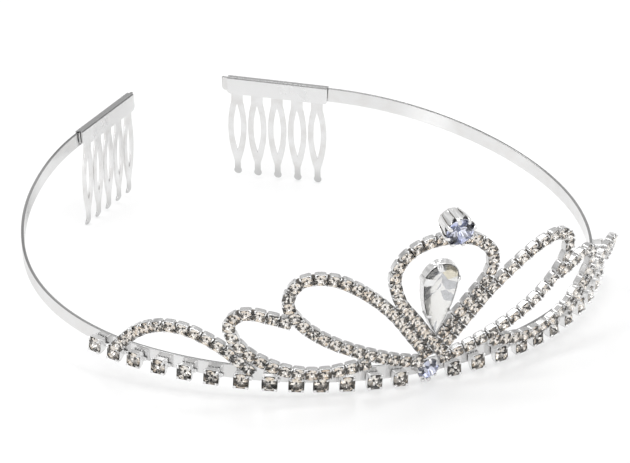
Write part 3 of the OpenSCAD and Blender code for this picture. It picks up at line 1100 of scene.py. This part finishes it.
# The tinted and dark foils are painted reflections of the room, as on the rhinestones
lilac_tint = stone_foil("lilac_tint", (0.74, 0.77, 0.93, 1), (0.6, 0.64, 0.83, 1))
lilac_dark = stone_foil("lilac_dark", (0.2, 0.22, 0.3, 1), (0.1, 0.12, 0.17, 1))

work = Work()
points, faces, finishes = round_cut(top_stone_width / 2, crown=1.3 * mm, depth=2.4 * mm, table=0.55)
stone_turn = Matrix.Rotation(math.radians(11), 4, "Z")
work.add(points, faces, spot @ stone_turn, dress(finishes, random.Random(3)), smooth=False, lot=0.4)
top_stone = work.piece("top_brilliant", lilac_glass, lilac_foil, lilac_tint, lilac_dark)
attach(top_stone, "root")
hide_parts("top_stone")


# Pear setting: a shallow tray of plated brass that follows the pear stone's outline, with a closed back.
# One claw is folded over the round end and a pair over each flank.
pear_width = 9.4 * mm
pear_length = 22 * mm
pear_place = (31.7 * mm, -0.6 * mm)
pear_side = -0.6 * mm
pear_turn = math.radians(2)
pear_round = pear_width / 2
pear_drop = pear_length - pear_round
pear_flank = (pear_drop ** 2 + pear_round ** 2) / (2 * pear_round)
# Share of an outline's points that goes to the round end
round_share = 0.36


def teardrop(grow, count):
    """Outline of the pear, round end up and point down, grown all round. Anticlockwise from the right.
    Grown outlines run on until their flanks meet, and a shrunk one keeps the height of the point."""
    bow = pear_flank - pear_round
    reach = pear_flank + grow
    point_angle = math.asin(pear_drop / reach) if grow < 0 else math.acos(bow / reach)
    half = round(count * round_share)
    outline = arc(0, 0, pear_round + grow, 0, 180, half)
    flank = (count - half) // 2
    down = [math.degrees(point_angle) * k / flank for k in range(1, flank + 1)]
    left = [(bow - reach * math.cos(math.radians(a)), -reach * math.sin(math.radians(a))) for a in down]
    right = [(-x, y) for x, y in reversed(left[:-1])]
    left[-1] = (0, left[-1][1])
    return [Vector(point) for point in outline + left + right]


work = Work()
spot = middle_place(*pear_place)
spot = spot @ Matrix.Translation((pear_side, 0, 0)) @ Matrix.Rotation(pear_turn, 4, "Z")
# Columns: growth from the stone's outline and height, in mm
TRAY = [
    (0.25, -2.2), (0.36, -2.16), (0.4, -2.05), (0.4, -1.75), (0.35, -1.65), (0.35, -0.5), (0.39, -0.35),
    (0.4, -0.08), (0.36, 0), (0.25, 0.02), (0.14, -0.02), (0.1, -0.15), (0.08, -1.75),
]
rings = [[Vector((p.x, p.y, z * mm)) for p in teardrop(grow * mm, count=64)] for grow, z in TRAY]
work.add(*skin(rings), spot)


def flank_at(y):
    """Distance of the pear's flank from its spine in mm, at y below the middle of its round end"""
    return math.sqrt(pear_flank ** 2 - (y * mm) ** 2) / mm - (pear_flank - pear_round) / mm


# Claws: where each stands, the way it faces in degrees, its half width and how far it folds in, in mm
PEAR_CLAWS = [
    (-1.15, 4.55, 104, 0.8, 0.75),
    (-4.65, 0.6, 172, 1.15, 1.7),
    (flank_at(-0.6), -0.6, -1, 0.6, 0.4),
    (-flank_at(-11), -11, 200, 0.5, 0.6),
    (flank_at(-11), -11, -20, 0.5, 0.6),
]
for x, y, facing, width, fold in PEAR_CLAWS:
    line = [(0.5, -2), (0.55, -0.6), (0.55, 0.05), (0.35, 0.5), (-0.2 * fold, 0.8), (-fold, 0.98)]
    stand = Matrix.Translation((x * mm, y * mm, 0)) @ Matrix.Rotation(math.radians(facing), 4, "Z")
    widths = [share * width for share in (0.7, 0.85, 1, 1.05, 1.02, 0.9)]
    work.add(*folded_claw([(a * mm, b * mm) for a, b in line], widths, thick=0.36, turn=0), spot @ stand)
pear_setting = work.piece("pear_tray", setting_plate)
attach(pear_setting, "root")
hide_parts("pear_setting")


# Pear stone: a long drop of clear crystal with a silvered back and long facets that run to its point.
# It lies in the tray behind its claws, with its round end up.
pear_glass = stone_glass("pear_glass", (1, 1, 1, 1), (0.985, 0.985, 0.98, 1), refraction=1.46)
pear_foil = stone_foil("pear_foil", (0.98, 0.975, 0.96, 1), (0.93, 0.92, 0.89, 1), mirror=0.72)
# The tinted and grey foils are painted reflections of the room
pear_tint = stone_foil("pear_tint", (0.84, 0.79, 0.66, 1), (0.72, 0.67, 0.54, 1), mirror=0.7)
pear_grey = stone_foil("pear_grey", (0.66, 0.67, 0.69, 1), (0.45, 0.45, 0.46, 1), mirror=0.75)
# Facets to the right of this point and above it show a painted champagne reflection
champagne_reflection_from = Vector((0.6 * mm, -0.5 * mm))
# The spine starts this far up from the middle of the round end. The facets at each corner below that
# middle run to a place on the spine that lies lower by a share of the corner's own drop.
spine_start = 2.2 * mm
spine_share = 0.72


def pear_spine(flat):
    """Point of the pear's spine that the facets at a corner of its outline run to"""
    return Vector((0, spine_start + min(0, spine_share * flat.y)))


def pear_foils(points, faces, finishes, chance):
    """A foil for each rear facet: clear, but a painted champagne reflection on the right of the round end
    and a painted grey reflection on a few
    """
    foils = []
    for face, finish in zip(faces, finishes):
        middle = sum((points[k] for k in face), Vector()) / len(face)
        champagne = middle.x > champagne_reflection_from.x and middle.y > champagne_reflection_from.y
        foil = chance.choice([1, 1, 1, 3])
        if finish == 0:
            foil = 0
        elif champagne:
            foil = 2
        foils.append(foil)
    return foils


work = Work()
outline = teardrop(-0.1 * mm, count=28)
points, faces, finishes = cut_stone(
    outline,
    pear_spine,
    table=0.5,
    crown=1.0 * mm,
    girdle=0.12 * mm,
    depth=0.62 * mm,
    halves=0.36,
    culet=0,
)
foils = pear_foils(points, faces, finishes, random.Random(4))
work.add(points, faces, spot, foils, smooth=False, lot=0.2)
pear_stone = work.piece("pear_drop", pear_glass, pear_foil, pear_tint, pear_grey)
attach(pear_stone, "root")
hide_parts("pear_stone")


# Foot setting: a small round cup like the top one, soldered to the strip where the loops meet.
# Two of its claws are long, and their bead ends reach down almost to the table.
base_width = 5.7 * mm
base_place = (2.1 * mm, -1.1 * mm)
base_back = 2.2 * mm
base_depth = 2.1 * mm
base_wall = 0.15 * mm
work = Work()
rim = base_width / 2 + stone_gap + base_wall
spot = middle_place(*base_place)
cup = arched_cup(rim, base_back, base_depth, base_wall, arch=0.5 * mm, rib=0.08 * mm)
work.add(*cup, spot)
for k in range(round_claws):
    line = [(0.95 * rim, -0.9 * mm), (rim, -0.1 * mm)]
    line += [(rim - 0.08 * mm, 0.35 * mm), (rim - 0.55 * mm, 0.62 * mm)]
    turn = 2 * math.pi * k / round_claws
    work.add(*folded_claw(line, (0.26, 0.34, 0.38, 0.34), thick=0.6, turn=turn), spot)
for x in (-1.05, 0.65):
    line = [(x, -2.1, -1.6), (x, -3, -1), (x, -3.5, -0.5), (x, -3.58, -0.25)]
    line = [Vector(point) * mm for point in line]
    work.add(*prong(line, (0.4, 0.46, 0.56, 0.58), sides=12), spot)
base_setting = work.piece("foot_cup", setting_plate)
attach(base_setting, "root")
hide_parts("base_setting")


# Foot stone: a smaller round brilliant of the same lilac-blue crystal.
# It lies in the foot setting, low in the middle of the diadem.
work = Work()
points, faces, finishes = round_cut(base_width / 2, crown=0.95 * mm, depth=1.4 * mm, table=0.55)
work.add(points, faces, spot @ stone_turn, dress(finishes, random.Random(5)), smooth=False, lot=0.7)
base_stone = work.piece("foot_brilliant", lilac_glass, lilac_foil, lilac_tint, lilac_dark)
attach(base_stone, "root")
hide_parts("base_stone")


# Studio: a table of white acrylic, lit from below and by a wide ring lamp overhead. The wall behind the
# diadem is pale, and the camera's side is a dim room with narrow bright windows for sparkle.
floor_half = 4.0
table_glow = 0.45
lamp_light = 4.6
lamp_middle_light = 0.45
ceiling_light = 0.5
near_ceiling_light = 0.8
wall_light = 0.8
wall_panel_light = 0.42
room_light = 0.42
window_light = 2.2
windows = 9
window_turn = 0.6
# Bands of light, one over another: the heights that each fades in between, where straight up is 1
WALL_BANDS = [
    (0.3, 0.38, wall_panel_light),
    (0.5, 0.58, wall_light),
    (0.66, 0.74, ceiling_light),
]
LAMP_BANDS = [
    (0.84, 0.88, lamp_light),
    (0.925, 0.955, lamp_middle_light),
]

table_finish, wire = new_finish("white_table")
ground = wire.node("ShaderNodeTexCoord", {}, {}, out="Object")
mottle = ground.noise(scale=18.0, detail=3.0)
inputs = {
    "Base Color": mottle.mix(grey(0.5), grey(0.53)),
    "Roughness": 0.22 + 0.06 * mottle,
    "Specular IOR Level": 0.35,
    "Emission Color": mottle.mix(grey(0.98), grey(1)),
    "Emission Strength": table_glow,
}
end_surface(wire, inputs)
floor_mesh = bpy.data.meshes.new("table_top")
corners = [(x * floor_half, y * floor_half, 0) for x, y in ((-1, -1), (1, -1), (1, 1), (-1, 1))]
floor_mesh.from_pydata(corners, [], [(0, 1, 2, 3)])
floor_mesh.materials.append(table_finish)
table_top = bpy.data.objects.new("table_top", floor_mesh)
bpy.context.scene.collection.objects.link(table_top)

studio = bpy.data.worlds.new("studio")
studio.use_nodes = True
studio.node_tree.nodes.clear()
wire = Wire(studio.node_tree)
ray = wire.node("ShaderNodeTexCoord", {}, {}, out="Generated")
x, y, z = (ray.axis(letter) for letter in "XYZ")
bearing = wire.math("ARCTAN2", y, x)
window = wire.math("COSINE", windows * bearing + window_turn).rise(0.5, 0.8) * (1 - z.rise(0.55, 0.65))
room = window.mix(grey(room_light), grey(window_light))
room = z.rise(0.6, 0.72).mix(room, grey(near_ceiling_light))
wall = grey(wall_light)
for low, high, brightness in WALL_BANDS:
    wall = z.rise(low, high).mix(wall, grey(brightness))
light = y.rise(-0.35, 0.05).mix(room, wall)
for low, high, brightness in LAMP_BANDS:
    light = z.rise(low, high).mix(light, grey(brightness))
surface = wire.node("ShaderNodeBackground", {}, {"Color": light, "Strength": 1.0})
wire.node("ShaderNodeOutputWorld", {}, {"Surface": surface})
bpy.context.scene.world = studio
bpy.context.scene.view_settings.view_transform = "Standard"


# Camera: a long lens from the front, well to the left of the middle and above it.
# The aim is shifted off the diadem's middle, and the camera is rolled a little, as in the photograph.
camera_bearing = math.radians(-25.21)
camera_height = math.radians(22.03)
camera_roll = math.radians(0.52)
camera_distance = 1.8
camera_lens = 390.4
aim = Vector((0, -4 * mm, 15 * mm))
aim_shift = (1.621 * mm, -3.521 * mm)
level = math.cos(camera_height)
back = Vector((math.sin(camera_bearing) * level, -math.cos(camera_bearing) * level, math.sin(camera_height)))
right = Vector((math.cos(camera_bearing), math.sin(camera_bearing), 0))
up = back.cross(right)
camera_data = bpy.data.cameras.new("camera")
camera_data.lens = camera_lens
camera_data.sensor_width = 36
camera_data.clip_start = 0.01
camera_data.clip_end = 50
camera = bpy.data.objects.new("camera", camera_data)
place = aim + camera_distance * back - aim_shift[0] * right - aim_shift[1] * up
rolled_right = math.cos(camera_roll) * right - math.sin(camera_roll) * up
rolled_up = math.sin(camera_roll) * right + math.cos(camera_roll) * up
camera.matrix_world = axes(place, rolled_right, rolled_up, back)
bpy.context.scene.collection.objects.link(camera)
bpy.context.scene.camera = camera
